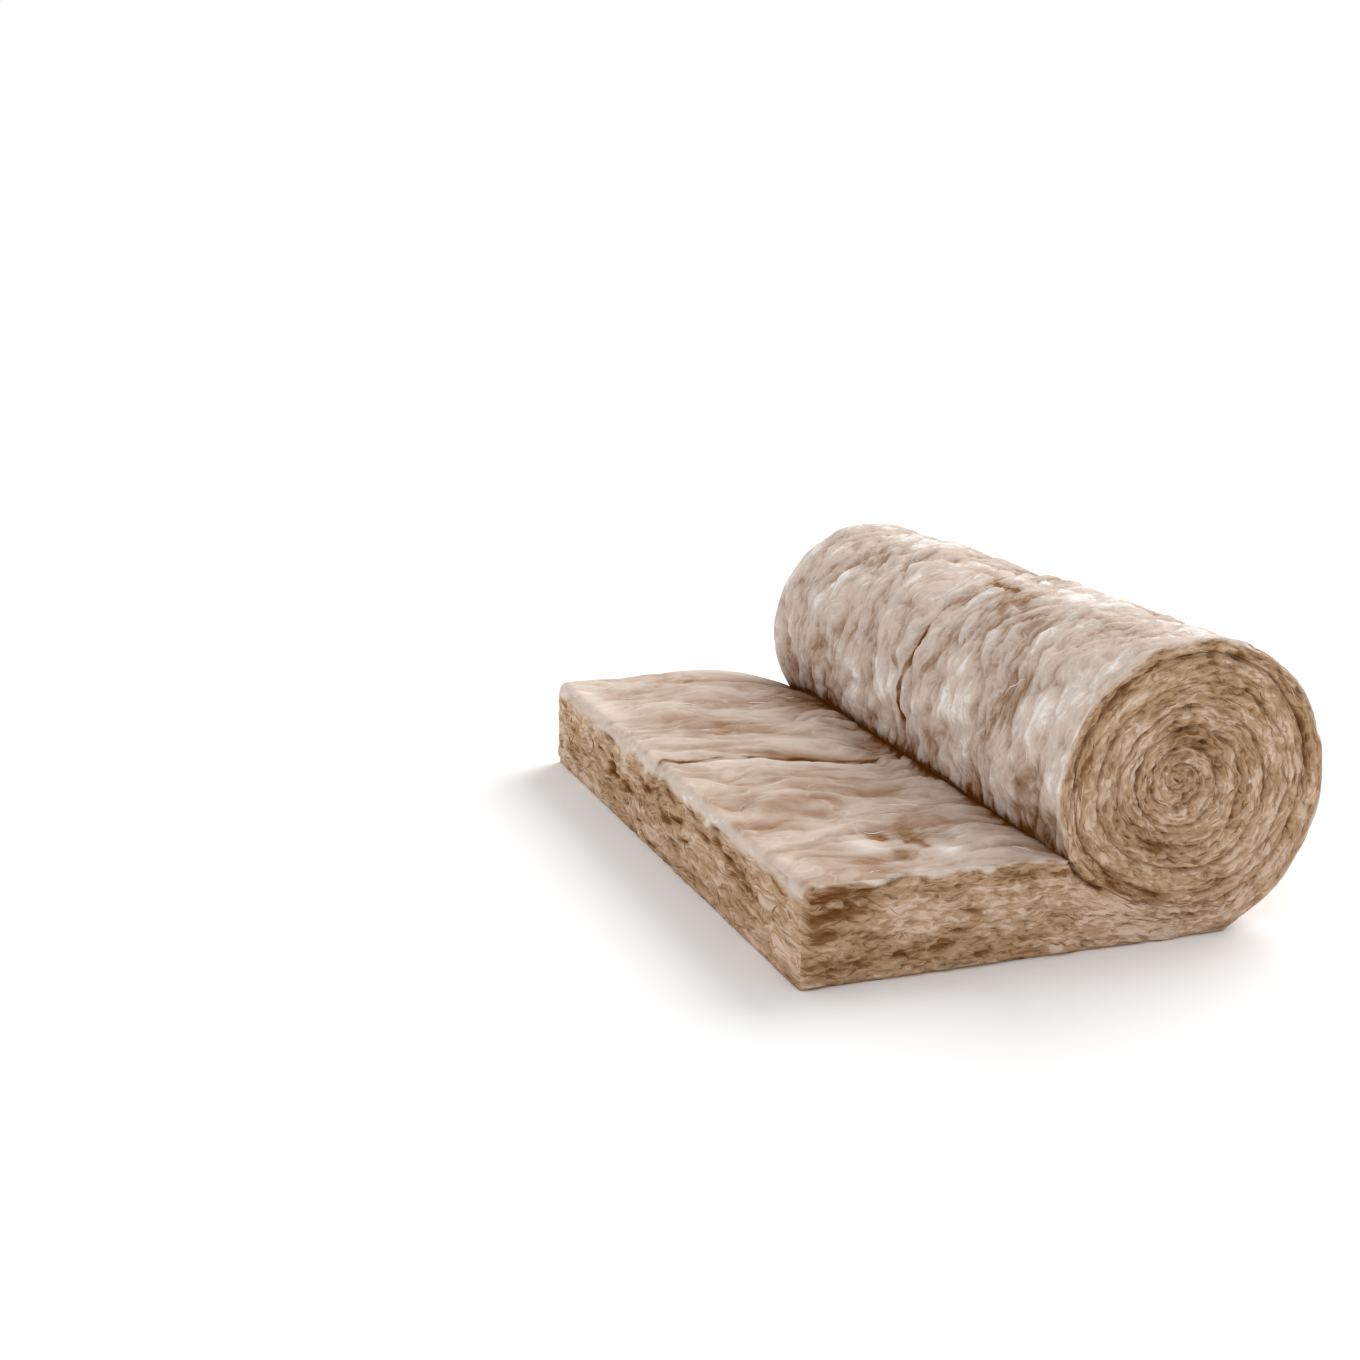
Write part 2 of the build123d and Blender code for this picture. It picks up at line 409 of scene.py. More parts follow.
# the part-way cut wanders, so the middle rows follow it; skinX is the distance from the cut end along the top
skinX = np.where(onRoll, 1.0, skin[rows // 2, :, 0])
splitDrift = np.interp(skinX, *zip(*skinRelief["splitPath"])) * ramp(0, 0.03, fromNip)
outline[..., 1] += splitDrift * np.exp(-(acrossGrid / 0.22) ** 2)
splitWander = tangle(alongSkin / 0.12, 0.0, 8.5, 21, 3) * 0.012
splitWander = (splitWander + mottle(alongSkin / 0.025, 0.0, 8.5, 25) * 0.004) * ramp(0, 0.1, alongSkin)
outline[..., 1] += splitWander * np.exp(-(acrossGrid / 0.05) ** 2)
splitPatchy = mottle(alongSkin / 0.05, 0.0, 9.5, 22)
rollShow = ramp(0.26, 0.2, fromNip) * ramp(0.02, 0.09, fromNip) * (0.8 + 0.4 * splitPatchy) + 0.08
splitShow = np.where(onRoll, rollShow, np.clip(0.55 + 0.8 * splitPatchy, 0.2, 1))
splitShow = splitShow * (1 - onCut * ramp(0.11, 0.06, skin[..., 1]))
split = np.exp(-np.abs(acrossGrid) / np.where(onRoll, 0.003, 0.005)) * (0.15 + 0.85 * splitShow)
puff = np.exp(-np.abs(np.abs(acrossGrid) - 0.018) / 0.018) * (1 - onRoll) * splitShow

height = skinHeight * calm * (1 - onCut) + endHeight * ramp(topEnd + 2, topEnd + 9, skinColumn)
height = height + (skinRelief["splitPuff"] * puff - skinRelief["splitDepth"] * split) * ramp(0, 0.03, fromNip)
height = height * (0.4 + 0.6 * ramp(0, 0.012, skin[..., 1]))
sides = outline[:, :nipAt + 1], outline[:, nipAt + 1:]
normals = np.hstack([surfaceNormals(side) for side in sides])
rimWander = 1 + 0.35 * tangle(alongSkin / 0.045, np.sign(acrossGrid[:, :1]) * 3.0, 4.4, 23, 2)
inset = np.zeros(skin.shape[:2])
for k, amount in enumerate(rimInset):
    inset[k] = amount * rimWander[0]
    inset[-1 - k] = amount * rimWander[-1]
torn = patches(skinRelief["torn"], alongSkin, outline[..., 1])
torn = np.clip(torn * (1 + 0.8 * tangle(alongSkin / 0.028, acrossGrid / 0.04, 8.4, 28, 2)), 0, 1)
relief = normals * (height - skinRelief["tornDepth"] * torn)[..., None]
skinPoints = outline + relief - normals * (inset * ramp(0, 0.03, fromNip))[..., None]
skinPoints[:, [0, -1], 2] = 0
skinPoints[..., 2] = np.maximum(skinPoints[..., 2], 0)
print("outer faces shaped", skinPoints.shape)


# shades of the outer faces: browner on the top and low on the roll's back, paler over its crest as a painted
# highlight

stains = patches(skinRelief["stains"], alongSkin, outline[..., 1])
back = ramp(0.58, 0.46, alongSkin)
crestHighlight = ramp(0.65, 0.6, alongSkin) * ramp(0.54, 0.59, alongSkin)
# the fold hollows darken the skin as painted shade
skinTone = -skinHollowShade * np.where(onRoll, 1.25, 0.65) - stains - 0.5 * (1 - onRoll)
# the near strip's raised edge beside the split is paler, a painted highlight
skinTone = skinTone + 0.4 * puff * (acrossGrid < 0) - 0.9 * torn
skinTone = skinTone + 0.35 * crestHighlight - 0.65 * back
skinTone = skinTone * (1 - onCut) + endTone * onCut
skinPale = np.clip(skinTone, 0, 1) * (1 - 0.7 * onCut * ramp(0.115, 0.135, skin[..., 1]))
# painted shade in the split: only its far wall can be seen from the near end, so the darkest line lies on it
lineAt, lineWidth = np.where(onRoll, 0.003, 0.008), np.where(onRoll, 0.0028, 0.0048)
splitShade = np.exp(-np.abs(acrossGrid - lineAt) / lineWidth)
nipUneven = 1 + 0.8 * mottle(acrossGrid / 0.1, 0.0, 2.9, 26)
nipShade = np.exp(-fromNip / 0.012) + 0.55 * np.exp(-fromNip / 0.045) * nipUneven
nipShade = nipShade * (0.45 + 0.55 * ramp(-0.55, -0.3, acrossGrid))
# the dark tone gathers the stains with the painted shade of the split, the nip and the cut end's pits
skinShadeAndStain = np.clip(-skinTone, 0, 1) + splitShade * splitShow * np.where(onRoll, 2.1, 1.0)
skinShadeAndStain = np.clip(skinShadeAndStain + nipShade + 1.5 * endShade * onCut, 0, 1.6)
# the skin laps over the top of the cut end, is torn in places, and ends raggedly at the rims
lap = thickness - skin[..., 1] + tangle(acrossGrid / 0.08, 0.0, 3.9, 24, 2) * 0.012
skinCut = np.maximum(onCut * ramp(0.002, 0.042, lap), torn)
ragged = tangle(alongSkin / 0.045, 0.0, 6.4, 27, 2)
rimCut = np.clip(0.3 + np.where(onRoll, 0.3, 0.6) * ragged, 0, 0.8)
skinCut = np.maximum(skinCut, rimCut * ramp(0.012, 0, fromRim))
print("outer faces shaded")


class Shell:
    # the blanket's vertices and faces as they are gathered; cut is 1 where the wool's layers are laid bare
    # and 0 on its skin, and grain is where each face's corners lie in the wool
    # the dark and pale tones carry stains and paler wool together with painted shade and painted light
    def __init__(self):
        self.points, self.faces, self.grain = [], [], []
        self.tones = {"shadeAndStain": [], "pale": [], "cut": []}
        self.count = 0

    def add(self, points, shadeAndStain, pale, cut=1.0):
        points = np.asarray(points, float)
        shape = points.shape[:-1]
        self.points.append(points.reshape(-1, 3))
        for name, values in (("shadeAndStain", shadeAndStain), ("pale", pale), ("cut", cut)):
            self.tones[name].append(np.broadcast_to(values, shape).ravel())
        first = self.count
        self.count += self.points[-1].shape[0]
        return np.arange(first, self.count).reshape(shape)

    def block(self, ids, grain, flip):
        # quads over a grid of vertices
        low, high = slice(None, -1), slice(1, None)
        corners = [(low, low), (low, high), (high, high), (high, low)]
        corners = corners[::-1] if flip else corners
        self.faces += np.stack([ids[c] for c in corners], -1).reshape(-1, 4).tolist()
        self.grain.append(np.stack([grain[c] for c in corners], -2).reshape(-1, 3))

    def stitch(self, first, second, firstGrain, secondGrain, flip):
        # triangles between two lines of vertices that have different numbers of points
        ids, grain = np.hstack([first, second]), np.vstack([firstGrain, secondGrain])
        i, j, lastI, lastJ = 0, 0, len(first) - 1, len(second) - 1
        while i < lastI or j < lastJ:
            onFirst = j == lastJ or (i < lastI and (i + 1) * lastJ <= (j + 1) * lastI)
            corners = [i, i + 1 if onFirst else len(first) + j + 1, len(first) + j]
            i, j = i + onFirst, j + (not onFirst)
            if len(set(ids[corners].tolist())) == 3:
                corners = corners[::-1] if flip else corners
                self.faces.append(ids[corners].tolist())
                self.grain.append(grain[corners])


shell = Shell()
skinIds = shell.add(skinPoints, skinShadeAndStain, skinPale, skinCut)
# the grain is where the wool's pattern is taken from, and its third part is how smooth the pattern is
grainSize = np.where(onRoll, 1.0, 0.7)
skinSmooth = np.where(onRoll, skinRelief["backSmooth"] * back, skinRelief["topSmooth"])
skinGrain = np.stack([
    (alongSkin + swirl * 0.3) * grainSize,
    (acrossGrid + swirl) * grainSize,
    np.broadcast_to(skinSmooth, swirl.shape),
], -1)
endGrain = np.stack([endY * 0.6 + endZ * 0.3, endZ * 0.9, np.full(endZ.shape, cutRelief["endSmooth"])], -1)
# the cut end's own grain starts below its rounded corner
cornerEnd = topEnd + 3
shell.block(skinIds[:, :cornerEnd], skinGrain[:, :cornerEnd], True)
shell.block(skinIds[:, cornerEnd - 1:], endGrain[:, cornerEnd - 1:], True)


def endCap(row, outward):
    # one end of the roll and one long edge of the blanket, in strips that follow the winding
    winding, top = windingLines[row], topLines[row]
    eyeX, eyeZ = eyeAt[row]
    seed = 60 if outward < 0 else 160
    flip = outward > 0
    gapShadeDepth, footInset, smooth = cutRelief["gapShadeDepth"], cutRelief["footInset"], cutRelief["smooth"]
    uneven = tangle(roundX * 3.3, roundZ * 3.3, angles * 0.9, seed + 1, 3)
    firstLine = ramp(nipColumn + turnColumns, nipColumn + 0.85 * turnColumns, column)
    gapDepth = cutRelief["gapDepth"] * np.clip(0.6 + 0.9 * uneven, 0.15, 1.35) * (1 + 0.7 * firstLine)
    gapDepth = gapDepth + 0.006 * np.exp(-np.abs(column - nipColumn) / 14.0)
    mouth = np.clip(1 + 0.8 * mottle(roundX * 5, roundZ * 5, angles, seed + 2), 0.5, 1.7)
    gapWidth = cutRelief["gapWidth"] * mouth * (1 + 0.4 * firstLine)
    nearEye = ramp(0, 0.05, windingRadius(angles))
    gapDepth = gapDepth * (0.45 + 0.55 * nearEye)
    gapWidth = gapWidth * (0.6 + 0.4 * nearEye)
    stagger = cutRelief["stagger"] * tangle(roundX * 0.9, roundZ * 0.9, angles / 2.1, seed + 3, 2)
    rimShift = (skinPoints - outline)[row][:, [0, 2]]
    faceY = across[row] + outward * rim * (1 - sin(radians(45)))

    def fallAway(distance):
        # the face rounds off into the rim, from this far inside it
        return rim - np.sqrt(rim ** 2 - np.clip(rim - rimInset[0] - distance, 0, None) ** 2)

    def place(x, z, out):
        return np.stack([x + cutEndX, np.broadcast_to(faceY + outward * out, np.shape(x)), z], -1)

    # vertices on the winding line: under the roll, on the rim, then hidden between the turns; those on the
    # floor and in the gaps carry painted shade
    ids = np.full(len(winding), -1)
    ids[liftColumn:nipColumn + 1] = skinIds[row, :nipAt + 1]
    gap = column > nipColumn
    gapPoints = place(winding[gap, 0], winding[gap, 1], -gapDepth[gap])
    ids[gap] = shell.add(gapPoints, np.clip(gapDepth / gapShadeDepth, 0, 1)[gap], 0.0)
    under = column < liftColumn
    ids[under] = shell.add(place(winding[under, 0], winding[under, 1] * 0, -footInset), 0.4, 0.0)
    lineShift = np.zeros((len(winding) + 1, 2))
    lineShift[liftColumn:nipColumn + 1] = rimShift[:nipAt + 1]
    lineRagged = np.zeros(len(winding) + 1)
    lineRagged[liftColumn:nipColumn + 1] = ragged[:nipAt + 1]

    # the let-out length: upright columns from the cut end to a line under the eye
    share = np.hstack([np.linspace(0, 0.94, mesh["slabRows"] - 1), [0.97, 0.985, 1.0]])
    inside = slice(nipColumn, turnColumns + 1)
    hidden = winding[inside]
    topX = np.hstack([top[:, 0], hidden[:, 0]])
    topZ = np.hstack([top[:, 1], hidden[:, 1]])
    topIds = np.hstack([skinIds[row, nipAt + 1:topEnd][::-1], ids[inside]])
    shift = np.vstack([rimShift[nipAt + 1:topEnd][::-1], np.zeros((len(hidden), 2))])
    free = np.hstack([np.ones(len(top)), np.zeros(len(hidden))])[:, None]
    deep = np.hstack([np.zeros(len(top)), gapDepth[inside]])[:, None]
    broad = np.hstack([np.full(len(top), 0.003), gapWidth[inside]])[:, None]
    alongTop = topX[:, None]
    fromTop = topZ[:, None] * (1 - share)
    x = alongTop + shift[:, :1] * np.exp(-fromTop / 0.012)
    z = topZ[:, None] * share + shift[:, 1:] * np.exp(-fromTop / 0.012)
    closing = ramp(0.36, eyeX, alongTop)
    depth = share * (topZ[:, None] + section["squeeze"] * closing)
    along = np.broadcast_to(alongTop - eyeX, x.shape)
    out, tone = cutHeights(along, depth, seed + 5)
    out = out + tangle(along / 0.16, z / 0.05, 5.5, seed + 6, 2) * 0.004
    nearCut = ramp(0.12, 0, alongTop)
    lipAt = 0.03 + 0.012 * nearCut + mottle(along / 0.05, 0.0, 6.5, seed + 7) * 0.008
    lip = np.exp(-((fromTop - lipAt) / (0.01 + 0.014 * nearCut)) ** 2) * ramp(0.34, 0.02, alongTop)
    tuft = patches(cutRelief["edgeTuft"], alongTop, z) * (outward < 0)
    out = out * (1 - tuft) - lip * 0.01 + tuft * 0.011
    out = out * (1 - free * np.exp(-fromTop / 0.009)) - free * fallAway(fromTop)
    out = out - deep * np.exp(-fromTop / broad) - 0.003 * np.exp(-z / 0.004)
    sagging = z + 0.012 * mottle(alongTop / 0.07, 0.0, 7.5, seed + 9)
    sagging = sagging - 0.01 * np.sin(alongTop / 0.4 * pi)
    stain = cutRelief["edgeStain"] * patches(cutRelief["edgeStains"], alongTop, sagging) + 0.25 - closing
    stain = stain * (1 + 0.3 * mottle(along / 0.06, depth / 0.009, 9.5, seed + 8))
    stain = stain + 0.35 * tangle(along / 0.09, depth / 0.022, 9.5, seed + 8, 2)
    shade = (deep / gapShadeDepth) * np.exp(-fromTop / (broad * 1.8))
    # the lip's recess is darker, painted shade
    tone = tone * 0.9 - stain - lip * 0.4 + tuft * 2
    shadeAndStain, pale = np.clip(-tone + shade, 0, 1.3), np.clip(tone, 0, 1)
    border = np.hstack([ragged[nipAt + 1:topEnd][::-1], np.ones(len(hidden))])[:, None]
    cut = np.clip(0.35 + 0.5 * border, 0.1, 0.8)
    bare = ramp(0.0, 0.012, fromTop + 0.012 * border + (1 - free) * 0.05)
    cut = cut + (1 - cut) * bare * (0.5 + 0.5 * ramp(0.0, 0.014, alongTop))
    pale = np.maximum(pale, (1 - cut) * 0.15)
    inner = shell.add(place(x, z, out)[:-1, 1:-1], shadeAndStain[:-1, 1:-1], pale[:-1, 1:-1], cut[:-1, 1:-1])
    inner = np.vstack([inner, inner[-1:]])
    # the line on the floor carries painted shade
    floor = np.append(shell.add(place(topX[:-1], topX[:-1] * 0, -footInset), 0.4, 0.0), ids[0])
    columns = np.hstack([floor[:, None], inner, topIds[:, None]])
    slabGrain = np.stack([along, depth, np.full(x.shape, smooth)], -1)
    shell.block(columns[:-1], slabGrain[:-1], not flip)
    edge = np.append(skinIds[row, topEnd:][::-1], topIds[0])
    edgeGrain = np.array([(-eyeX, d * thickness, smooth) for d in np.linspace(0, 1, len(edge))])
    shell.stitch(columns[0], edge, slabGrain[0], edgeGrain, flip)

    # the turns, from under the eye to the eye itself
    shares = np.hstack([[0.055, 0.105], np.linspace(0.17, 0.83, mesh["turnRows"] - 4), [0.895, 0.945]])
    line = np.vstack([winding, [(eyeX, eyeZ)]])
    # the eye's hollow carries painted shade
    eyePoint = place(np.array([eyeX]), np.array([eyeZ]), -cutRelief["eyeDepth"])
    lineIds = np.append(ids, shell.add(eyePoint, 0.8, 0.0))
    start = np.arange(len(winding) - 1)
    end = np.minimum(start + turnColumns, len(winding))
    startAngle = angles[start][:, None]
    a, b = line[start], line[end]
    thick = np.hypot(*(b - a).T)[:, None]
    fromA, fromB = thick * shares, thick * (1 - shares)
    shift = lineShift[start][:, None, :] * np.exp(-fromA / 0.012)[..., None]
    x = a[:, :1] + (b - a)[:, :1] * shares + shift[..., 0]
    z = a[:, 1:] + (b - a)[:, 1:] * shares + shift[..., 1]
    walked = np.hstack([[0], np.cumsum(np.hypot(*np.diff(winding, axis=0).T))])
    alongTurns = walked[start][:, None]
    along = np.broadcast_to(alongTurns, x.shape)
    spread = 1 + section["squeeze"] / thick[0] * ramp(1.3, 0, startAngle)
    depth = fromA * spread
    out, tone = cutHeights(along, depth, seed + 5)
    outer = (start <= nipColumn)[:, None]
    depths, widths = np.append(gapDepth, gapDepth[-1]), np.append(gapWidth, gapWidth[-1])
    depthA, widthA = np.where(outer, 0, depths[start][:, None]), widths[start][:, None]
    depthB, widthB = depths[end][:, None], widths[end][:, None]
    out = out * ramp(0.004, 0.022, thick) + stagger[start][:, None] * ramp(0, 0.5, startAngle)
    out = out + (1 - (2 * shares - 1) ** 4) * 0.002
    out = out * (1 - outer * np.exp(-fromA / 0.009)) - outer * fallAway(fromA)
    out = out - depthA * np.exp(-fromA / widthA) - depthB * np.exp(-fromB / widthB)
    # painted shade beside the gaps between the turns
    shadeByGaps = (depthB * np.exp(-fromB / (widthB * 1.8)) + depthA * np.exp(-fromA / (widthA * 1.8))) / gapShadeDepth
    border = lineRagged[start][:, None]
    cut = np.clip(0.4 + 0.25 * border, 0.1, 0.8)
    cut = np.where(outer, cut + (1 - cut) * ramp(0.0, 0.01, fromA + 0.004 * border), 1.0)
    bearing = np.degrees(np.arctan2(x - eyeX, eyeZ - z)) % 360
    stain = patches(cutRelief["turnStains"], bearing, np.hypot(x - eyeX, z - eyeZ))
    stain = stain * (1 + 0.5 * mottle(along / 0.05, depth / 0.012, 9.5, seed + 8))
    stain = stain + 0.15 * tangle(along / 0.1, depth / 0.022, 9.5, seed + 8, 2)
    tone = tone * 0.7 - stain
    pale = np.maximum(np.clip(tone, 0, 1) * (1 - np.clip(shadeByGaps, 0, 1)), (1 - cut) * 0.15)
    inner = shell.add(place(x, z, out), np.clip(-tone + shadeByGaps, 0, 1.3), pale, cut)
    strip = np.hstack([lineIds[start][:, None], inner, lineIds[end][:, None]])
    depth = np.hstack([fromA[:, :1] * 0, depth, thick * spread])
    turnGrain = np.stack([np.broadcast_to(alongTurns, depth.shape), depth, np.full(depth.shape, smooth)], -1)
    core = len(winding) - turnColumns
    eye = slice(core, core + 1)
    shell.block(strip[:core + 1], turnGrain[:core + 1], not flip)
    shell.block(strip[core:, :-1], turnGrain[core:, :-1], not flip)
    shell.stitch(strip[core:, -2], strip[eye, -1], turnGrain[core:, -2], turnGrain[eye, -1], flip)
    lastGrain = np.array([(walked[-1], 0, smooth), (walked[-1], 0.005, smooth)])
    shell.stitch(strip[-1], lineIds[-2:], turnGrain[-1], lastGrain, not flip)
    shell.stitch(columns[-2], strip[0], slabGrain[-2], turnGrain[0], not flip)
    # the lines on the floor, and both faces' vertices with their places along and across
    return {
        "floor": floor, "lift": ids[:liftColumn + 1],
        "turns": (strip, walked[start], np.hstack([[0], shares, [1]])),
        "slab": (columns, topX, share),
    }


nearEnd, farEnd = endCap(0, -1), endCap(rows - 1, 1)
underside = np.hstack([
    nearEnd["floor"], nearEnd["lift"][1:], skinIds[1:, 0],
    farEnd["lift"][-2:0:-1], farEnd["floor"][::-1], skinIds[::-1, -1],
])
points = np.vstack(shell.points)
points[underside, 2] = 0
shell.faces.append([int(v) for v in underside[::-1]])
shell.grain.append(np.zeros((len(underside), 3)))
print("ends shaped, vertices", len(points), "faces", len(shell.faces))


def addObject(name, data):
    made = bpy.data.objects.new(name, data)
    bpy.context.scene.collection.objects.link(made)
    return made


def makeMesh(name, points, faces, smooth=False):
    data = bpy.data.meshes.new(name)
    data.from_pydata(points.tolist(), [], faces)
    data.polygons.foreach_set("use_smooth", np.full(len(faces), smooth))
    return addObject(name, data)


wool = makeMesh("woolRoll", points, shell.faces, True)
for name, values in shell.tones.items():
    layer = wool.data.attributes.new(name, "FLOAT", "POINT")
    layer.data.foreach_set("value", np.hstack(values).astype(np.float32))
layer = wool.data.attributes.new("grain", "FLOAT_VECTOR", "CORNER")
layer.data.foreach_set("vector", np.vstack(shell.grain).astype(np.float32).ravel())
wool.data.update()


def plainColour(word):
    # an sRGB colour word as linear values
    parts = [int(word[i:i + 2], 16) / 255 for i in (0, 2, 4)]
    return tuple(p / 12.92 if p <= 0.04045 else ((p + 0.055) / 1.055) ** 2.4 for p in parts) + (1.0,)


class Wire:
    # one output in a material's node tree, so that shader sums read like plain sums
    def __init__(self, tree, socket=None):
        self.tree, self.socket = tree, socket

    def feed(self, target, value):
        if isinstance(value, Wire):
            self.tree.links.new(value.socket, target)
        else:
            target.default_value = plainColour(value) if isinstance(value, str) else value

    def node(self, nodeType, settings, sockets, output=0):
        made = self.tree.nodes.new(nodeType)
        for name, value in settings.items():
            setattr(made, name, value)
        for name, value in sockets.items():
            self.feed(made.inputs[name], value)
        return Wire(self.tree, made.outputs[output])

    def sum(self, operation, first, second):
        vector = "VECTOR" in [v.socket.type for v in (first, second) if isinstance(v, Wire)]
        kind = "ShaderNodeVectorMath" if vector else "ShaderNodeMath"
        return self.node(kind, {"operation": operation}, {0: first, 1: second})

    def __add__(self, other):
        return self.sum("ADD", self, other)

    def __radd__(self, other):
        return self.sum("ADD", other, self)

    def __sub__(self, other):
        return self.sum("SUBTRACT", self, other)

    def __rsub__(self, other):
        return self.sum("SUBTRACT", other, self)

    def __mul__(self, other):
        return self.sum("MULTIPLY", self, other)

    def __rmul__(self, other):
        return self.sum("MULTIPLY", other, self)

    def size(self):
        return self.node("ShaderNodeMath", {"operation": "ABSOLUTE"}, {0: self})

    def ramp(self, low, high):
        sockets = {"Value": self, "From Min": low, "From Max": high}
        return self.node("ShaderNodeMapRange", {"interpolation_type": "SMOOTHSTEP"}, sockets)

    def mix(self, first, second):
        # first where this is 0, second where it is 1
        return self.node("ShaderNodeMix", {"data_type": "RGBA"}, {0: self, 6: first, 7: second}, 2)

    def attribute(self, name, output):
        return self.node("ShaderNodeAttribute", {"attribute_name": name}, {}, output)

    def noise(self, place, detail, roughness, output=0):
        sockets = {"Vector": place, "Scale": 1.0, "Detail": detail, "Roughness": roughness}
        return self.node("ShaderNodeTexNoise", {}, sockets, output)

    def swing(self, place, detail, roughness):
        # noise from -0.5 to 0.5
        return self.noise(place, detail, roughness) - 0.5


def plainMaterial(name, colour, roughness, shine):
    material = bpy.data.materials.new(name)
    material.use_nodes = True
    sockets = material.node_tree.nodes["Principled BSDF"].inputs
    sockets["Base Color"].default_value = plainColour(colour)
    sockets["Roughness"].default_value = roughness
    sockets["Specular IOR Level"].default_value = shine
    return material


woolLook = {
    # the browns and the deep colour serve both the stains and the painted shade, and the pale colours both
    # the pale wool and the painted highlights
    "skinPale": "f4ede7", "skinMiddle": "d7c7ba", "skinBrown": "967256",
    "cutPale": "d9bfa9", "cutMiddle": "bb9a7b", "cutBrown": "815d3b",
    "deep": "643a12",
    "roughness": 0.92,
    # how fine each pattern is along the wool and across it
    "swaySize": (22.0, 30.0, 1.0), "swayReach": (0.036, 0.024, 0.0),
    "skinCloud": (9.0, 17.0, 1.0), "skinStreak": (34.0, 78.0, 1.0),
    "skinFuzz": (130.0, 210.0, 1.0), "skinFibre": (9.0, 31.0, 1.0),
    "cutCloud": (10.0, 34.0, 1.0), "cutCurl": (34.0, 92.0, 1.0),
    "cutCrack": (15.0, 66.0, 1.0), "cutCrumb": (66.0, 165.0, 1.0),
    "crackShift": (0.37, 0.21, 0.0),       # so that the cracks and curls don't lie alike
    "skinBump": 0.003, "cutBump": 0.0034,
}


def woolMaterial(name, look):
    material = plainMaterial(name, look["skinMiddle"], look["roughness"], 0.0)
    sockets = material.node_tree.nodes["Principled BSDF"].inputs
    start = Wire(material.node_tree)
    grain = start.attribute("grain", "Vector")
    shadeAndStain, pale, cut = (start.attribute(word, "Fac") for word in ("shadeAndStain", "pale", "cut"))
    reach = look["swayReach"]
    sway = start.noise(grain * look["swaySize"], 2.0, 0.5, "Color")
    centred = {0: sway, 1: reach, 2: tuple(-0.5 * r for r in reach)}
    moved = start.node("ShaderNodeVectorMath", {"operation": "MULTIPLY_ADD"}, centred) + grain
    # the skin: soft clouds and streaks, with a few long pale fibres; the streaks are paler where the bump
    # raises them, partly painted light
    rough = 1 - start.node("ShaderNodeSeparateXYZ", {}, {"Vector": grain}, 2) * 0.65
    cloud = start.swing(moved * look["skinCloud"], 3.0, 0.6) * (rough * 0.4 + 0.6)
    streak = start.swing(moved * look["skinStreak"], 4.0, 0.6) * rough
    fuzz = start.swing(moved * look["skinFuzz"], 3.0, 0.65) * rough
    fibre = start.swing(moved * look["skinFibre"], 1.0, 0.4).size().ramp(0.022, 0.0)
    skinLight = cloud * 2.7 + streak * 1.2 + fuzz * 0.8 + fibre * 0.2 + pale * 0.6 - shadeAndStain * 0.78
    skinColour = skinLight.ramp(-1.3, 0.1).mix(look["skinBrown"], look["skinMiddle"])
    skinColour = skinLight.ramp(0.0, 0.6).mix(skinColour, look["skinPale"])
    # the cut faces: pale curls, partly painted light, brown cracks between the layers painted as shade, and
    # crumbs
    patch = start.swing(moved * look["cutCloud"], 3.0, 0.6)
    curl = start.swing(moved * look["cutCurl"], 2.0, 0.5).size().ramp(0.15, 0.0)
    crack = start.swing((moved + look["crackShift"]) * look["cutCrack"], 3.0, 0.5).size().ramp(0.05, 0.0)
    crumb = start.swing(moved * look["cutCrumb"], 3.0, 0.6)
    speck = crumb.ramp(-0.09, -0.2)
    cutLight = patch * 1.9 + curl * 0.45 - crack * 0.55 + crumb * 0.8 - speck * 0.5
    cutLight = cutLight + pale * 0.5 - shadeAndStain * 0.8 - 0.08
    cutColour = cutLight.ramp(-1.2, 0.15).mix(look["cutBrown"], look["cutMiddle"])
    cutColour = cutLight.ramp(0.0, 0.7).mix(cutColour, look["cutPale"])
    # the two meet along a soft ragged line
    bare = (cut + streak + crumb * 0.4).ramp(0.2, 0.8)
    colour = bare.mix(skinColour, cutColour)
    # the deep brown where the stains and painted shade are strongest
    colour = (shadeAndStain + streak + crumb).ramp(0.85, 1.6).mix(colour, look["deep"])
    skinHeight = (streak * 1.2 + fuzz * 0.5 + fibre * 0.1) * look["skinBump"]
    cutHeight = (curl * 0.35 - crack * 0.1 + crumb * 0.8) * look["cutBump"]
    height = skinHeight + (cutHeight - skinHeight) * bare
    bump = start.node("ShaderNodeBump", {}, {"Strength": 1.0, "Distance": 1.0, "Height": height})
    start.feed(sockets["Base Color"], colour)
    start.feed(sockets["Normal"], bump)
    return material


wool.data.materials.append(woolMaterial("wool", woolLook))
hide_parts(blanketNode)
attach(wool, "root")


# loose strands of wool that lie on the faces

strandLook = {
    "points": 7, "radius": (0.00045, 0.0011), "roughness": 0.9,
    "paleSkin": "eee2d8", "paleCut": "cdb297", "brownCut": "9b7450",
    "skin": {"count": 90, "length": (0.02, 0.06), "lift": 0.0008, "fromEdges": 0.02},
    # on the cut faces, for each colour; counts are for the near and the far end
    "turns": {"counts": (110, 75), "length": (0.012, 0.05), "wave": 0.1},
    "slab": {"counts": (35, 30), "length": (0.008, 0.022), "wave": 0.04},
    "cutEnd": {"count": 60, "length": (0.012, 0.04), "belowTop": 0.035},
    "cutLift": 0.002,
}
chance = np.random.default_rng(7)
t = np.linspace(0, 1, strandLook["points"])
bow = np.sin(pi * t)


def between(low, high, count):
    return chance.uniform(low, high, (count, 1))


